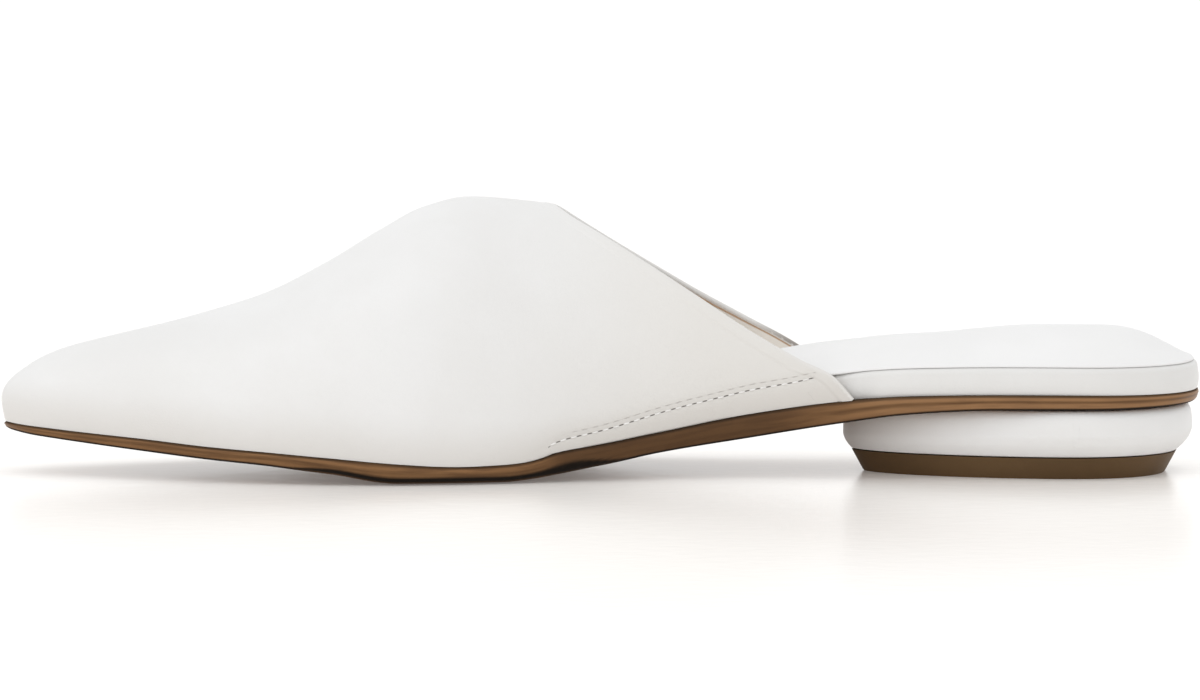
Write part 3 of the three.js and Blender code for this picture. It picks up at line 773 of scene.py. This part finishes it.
# The lines of the upper's mesh run forward from the topline. Rows lie at fixed distances from it, counted
# square to it, so that the turned band is as wide everywhere.
leather_wall, turned_in, pulled_back = 1.1, 0.4, 0.4
band_width, band_rise = 2.0, 0.2
row_dip, row_dip_half, row_swell = 0.12, 0.55, 0.16
aloft_columns, low_columns = 121, 40
lower = np.linspace(widest_at, 1, low_columns + 1)[1:]
around = np.concatenate([-lower[::-1], np.linspace(-widest_at, widest_at, aloft_columns), lower])
edge_line = topline_at(around)
edge_places, edge_ahead, _, _ = skin_frame(edge_line, around)
edge_run = unit(np.gradient(edge_places, axis=0))
least_slant = 0.35
slant = np.clip(np.linalg.norm(np.cross(edge_run, edge_ahead), axis=-1), least_slant, 1)
from_edge = np.array([0, 0.2, 0.45, 0.7, 1.0, 1.3, 1.6, 1.8, 2.0, 2.2, 2.4, 2.7, 3.1, 3.7, 4.6])
first = edge_line + (pulled_back + from_edge[:, None]) / slant
onward = np.sin(np.linspace(0, np.pi / 2, 131))[1:, None]
far_off = 9.0
distance = np.concatenate([from_edge, np.full(len(onward), far_off)])[:, None]


def sheet_at(wall):
    """The stations of a sheet of the upper: rows from the topline forward, at fixed distances from it
    and then closer and closer together up to the tip."""
    return np.concatenate([first, first[-1] + (SOLE_LENGTH - wall - first[-1]) * onward])


# The outside, lifted a little by the creases and the turned band, and drawn in along the stitches.
at = sheet_at(0)
before_tip = 0.1
outward = skin_frame(np.minimum(at, SOLE_LENGTH - before_tip), around)[3]
outside = upper_skin(at, around)
low = insole_foot(at)
above_row = outside[..., 2] - low - row_up(at)
on_row = smooth(at, row_start - 0.8, row_start + 0.4) * (1 - smooth(at, row_end - 3, row_end))
on_row = on_row * smooth(np.abs(around), 0.6, 0.7)
path = np.linspace(row_start, row_end, 400)
path_steps = np.hypot(np.diff(path), np.diff(insole_foot(path) + row_up(path)))
path_length = np.concatenate([[0], np.cumsum(path_steps)])
row_length = path_length[-1]
row_along = np.interp(at, path, path_length)
near_tip = smooth(SOLE_LENGTH - at, 2, 16)
lift = soft_creases(outside) * near_tip
lift += band_rise * (1 - smooth(distance, band_width - 0.4, band_width + 0.5))
lift -= row_dip * np.exp(-((above_row / row_dip_half) ** 2)) * on_row
lift += row_swell * smooth(above_row, 0.2, 2.5) * (1 - smooth(above_row, 5, 12)) * on_row
outside = outside + outward * lift[..., None]

# The inside, and a half round from one to the other along the topline.
inside = upper_skin(sheet_at(leather_wall), around, leather_wall)
centre = (outside[0] + inside[0]) / 2
half_wall = (outside[0] - inside[0]) / 2
rim_run = unit(np.gradient(centre, axis=0))
beyond = -edge_ahead - rim_run * np.sum(-edge_ahead * rim_run, -1, keepdims=True)
across_wall = unit(half_wall)
beyond = unit(beyond - across_wall * np.sum(beyond * across_wall, -1, keepdims=True))
turn = np.linspace(0, np.pi, 11)[:, None, None]
reach = np.linalg.norm(half_wall, axis=-1, keepdims=True)
rim = centre + half_wall * np.cos(turn) + reach * beyond * np.sin(turn)
feet = [np.stack([outside[:, edge], inside[:, edge]]) for edge in (0, -1)]

# Holes in a row, and over them the line where the leather is pulled down to the stitches.
upper_leather = leather("white_upper_leather", white, white_deeper, 0.4)
tree = upper_leather.tree
along, above = mark(tree, "row_along"), mark(tree, "row_above")
within = maths(tree, "SUBTRACT", maths(tree, "FRACT", maths(tree, "DIVIDE", along, stitch_pitch)), 0.5)
lengthwise = maths(tree, "DIVIDE", maths(tree, "MULTIPLY", within, stitch_pitch), hole_half_long)
upright = maths(tree, "DIVIDE", above, hole_half_high)
from_hole = maths(tree, "ADD", maths(tree, "POWER", lengthwise, 2), maths(tree, "POWER", upright, 2))
pierced = ramp(tree, from_hole, 0.5, 1.2, 1, 0)
fold_up, fold_half = 1.25, 0.2
fold = ramp(tree, maths(tree, "ABSOLUTE", maths(tree, "SUBTRACT", above, fold_up)), 0, fold_half, 1, 0)
fold = maths(tree, "MULTIPLY", fold, ramp(tree, along, row_length - 12, row_length - 3, 1, 0))
pulled = maths(tree, "MULTIPLY", fold, ramp(tree, maths(tree, "ABSOLUTE", within), 0.1, 0.4, 0.2, 1))

# The white is painted darker and warmer towards the back and towards the foot, as shade, and along the
# wings' rear edge the inner half of the rim is darker, a thin dark line. The fold and the holes are painted
# darker as shade.
fold_shade, fold_deep = 0.4, 5.0
hole_shade, hole_deep = 0.8, 8.0
ahead = node(tree, "SeparateXYZ", Vector=upper_leather.place)
warm = mixed(tree, ramp(tree, ahead, -0.03, 0.03, 0.9, 0), upper_leather.colour, (0.715, 0.7, 0.672))
lower_white = mixed(tree, mark(tree, "near_foot"), warm, (0.645, 0.622, 0.59))
edged = mixed(tree, mark(tree, "cut_edge"), lower_white, (0.2, 0.17, 0.14))
shaded = mixed(tree, maths(tree, "MULTIPLY", pulled, fold_shade), edged, (0.3, 0.27, 0.24))
holed = mixed(tree, maths(tree, "MULTIPLY", pierced, hole_shade), shaded, (0.07, 0.06, 0.05))
join(tree, holed, upper_leather.shader.inputs["Base Color"])
creased = maths(tree, "SUBTRACT", upper_leather.height, maths(tree, "MULTIPLY", pulled, fold_deep))
sunk = maths(tree, "SUBTRACT", creased, maths(tree, "MULTIPLY", pierced, hole_deep))
join(tree, sunk, upper_leather.bump.inputs["Height"])


def on_sheets(sheets, *values):
    """A mark for every point of some sheets: each value is spread over its sheet, and the last one over
    the sheets that are left."""
    spread = [*values, *[values[-1]] * (len(sheets) - len(values))]
    return [value + np.zeros(sheet.shape[:2]) for value, sheet in zip(spread, sheets)]


sheets = [outside, rim, inside, *feet]
edge_raw, off_row = 0.8, 50
# A thin dark line on the inner half of the rim along the wings' rear edge.
cut_edge = smooth(turn[..., 0], 0.45 * np.pi, 0.7 * np.pi) * smooth(np.abs(around), 0.74, 0.86)
# Painted shade: how much the upper is darkened towards its foot, more on the wings.
wing_share = 1 - smooth(at, 130, 165)
near_foot = (0.6 + 0.25 * wing_share) * (1 - smooth(outside[..., 2] - low, 0.5, 12 - 3 * wing_share))
upper = piece(
    "upper_leather", sheets, upper_leather.material, sharp=70,
    row_along=on_sheets(sheets, row_along, 0),
    cut_edge=on_sheets(sheets, 0, edge_raw * cut_edge, 0),
    near_foot=on_sheets(sheets, near_foot, 0),
    row_above=on_sheets(sheets, np.where(on_row > 0.5, above_row, off_row), off_row),
)
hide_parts("upper")

# ---- the lining ----
# Thin beige leather glued inside the upper. It stops short of the topline, so that the upper's turned
# edge shows above it.
lining_gap, lining_wall = 0.12, 0.45
from_lining_edge = np.array([0, 0.12, 0.3, 0.6])
near = edge_line + (pulled_back + turned_in + from_lining_edge[:, None]) / slant
onward = np.sin(np.linspace(0, np.pi / 2, 90))[1:, None]
faces = []
for wall in (leather_wall + lining_gap, leather_wall + lining_gap + lining_wall):
    at = np.concatenate([near, near[-1] + (SOLE_LENGTH - wall - near[-1]) * onward])
    faces.append(upper_skin(at, around, wall))
depth = np.concatenate([from_lining_edge, np.full(len(onward), far_off)])
sheets = [*faces, np.stack([face[0] for face in faces])]
sheets += [np.stack([face[:, edge] for face in faces]) for edge in (0, -1)]
beige_leather = leather("beige_lining_leather", (0.84, 0.785, 0.715), (0.81, 0.75, 0.675), 0.6, pore=0.0005)
tree = beige_leather.tree
raw_edge = ramp(tree, mark(tree, "from_edge"), 0.15, 0.45, 0.9, 0)
edged = mixed(tree, raw_edge, beige_leather.colour, (0.42, 0.24, 0.12))
join(tree, edged, beige_leather.shader.inputs["Base Color"])
lining = piece(
    "upper_lining", sheets, beige_leather.material,
    from_edge=on_sheets(sheets, depth[:, None], depth[:, None], 0, depth + far_off),
)

# ---- the stitches ----
# White thread along each wing, through upper and insole. A stitch is a short, slightly flattened loop
# that dips into its holes at both ends.
stitch_half, thread_half, fullness = 0.68, 0.2, 0.6
end_dip, pulled_down = 0.1, 0.02
spots = np.arange(stitch_pitch, row_length - stitch_pitch, stitch_pitch)
angle, turn = np.meshgrid(np.linspace(0, np.pi, 11), np.linspace(0, 2 * np.pi, 9), indexing="ij")
thick = thread_half * np.sin(angle) ** fullness
loops = []
for side_sign in (-1, 1):
    stitch_at = np.interp(spots, path_length, path)
    spot_around = around_of(stitch_at, row_up(stitch_at), side_sign)
    places, _, _, outward = skin_frame(stitch_at, spot_around)
    run = unit(np.gradient(places, axis=0))
    shape = (
        (stitch_half * np.cos(angle), run),
        (thick * np.cos(turn), np.cross(outward, run)),
        (thick * np.sin(turn) - end_dip * np.cos(angle) ** 2, outward),
    )
    centres = places - pulled_down * outward
    loops.extend(centres[:, None, None] + sum(far[..., None] * way[:, None, None] for far, way in shape))
thread = leather("white_thread", (0.88, 0.875, 0.86), (0.8, 0.79, 0.77), 0.6, pore=0.0003, patch=0.002)
stitches = piece("wing_stitches", loops, thread.material)

# ---- floor and light ----
# A smooth white floor, whose faint ripples blur what it mirrors, under an even white sky. Two large soft
# lamps stand on the toe's side: one above, and a weaker one lower down on the camera's side.
floor_material = bpy.data.materials.new("white_floor")
floor_material.use_nodes = True
floor_tree = floor_material.node_tree
floor_place = node(floor_tree, "TexCoord", out=3)
floor_tone = node(floor_tree, "TexNoise", Vector=floor_place, Scale=1.5)
floor_shader = floor_tree.nodes["Principled BSDF"]
floor_white = mixed(floor_tree, floor_tone, (0.95, 0.925, 0.895), (0.94, 0.912, 0.88))
join(floor_tree, floor_white, floor_shader.inputs["Base Color"])
floor_shader.inputs["Roughness"].default_value = 0.2
floor_shader.inputs["Specular IOR Level"].default_value = 0.25
floor_shader.inputs["Emission Color"].default_value = (1, 0.98, 0.96, 1)
floor_shader.inputs["Emission Strength"].default_value = 0.11
crinkle = floor_tree.nodes.new("ShaderNodeBump")
crinkle.inputs["Distance"].default_value = 0.00008
ripples = node(floor_tree, "TexNoise", Vector=floor_place, Scale=160.0, Detail=2.0)
join(floor_tree, ripples, crinkle.inputs["Height"])
join(floor_tree, crinkle.outputs["Normal"], floor_shader.inputs["Normal"])
floor_mesh = bpy.data.meshes.new("floor")
floor_half = 15
corners = [(floor_half * x, floor_half * y, 0) for x, y in ((-1, -1), (1, -1), (1, 1), (-1, 1))]
floor_mesh.from_pydata(corners, [], [(0, 1, 2, 3)])
floor_mesh.materials.append(floor_material)
floor = bpy.data.objects.new("floor", floor_mesh)
bpy.context.scene.collection.objects.link(floor)

for name, place, size, power in (
    ("key_light", (0.8, 0.8, 1.6), 1.4, 4.0),
    ("front_light", (1.2, 1.9, 0.6), 1.2, 3.0),
):
    lamp = bpy.data.lights.new(name, "AREA")
    lamp.shape, lamp.size, lamp.energy = "SQUARE", size, power
    lamp_object = bpy.data.objects.new(name, lamp)
    lamp_object.location = place
    lamp_object.rotation_mode = "QUATERNION"
    lamp_object.rotation_quaternion = (-Vector(place)).to_track_quat("-Z", "Y")
    lamp_object.visible_camera = False
    bpy.context.scene.collection.objects.link(lamp_object)
world = bpy.data.worlds.new("studio")
world.use_nodes = True
world.node_tree.nodes["Background"].inputs["Color"].default_value = (1, 1, 1, 1)
world.node_tree.nodes["Background"].inputs["Strength"].default_value = 1.0
bpy.context.scene.world = world
bpy.context.scene.view_settings.view_transform = "Standard"
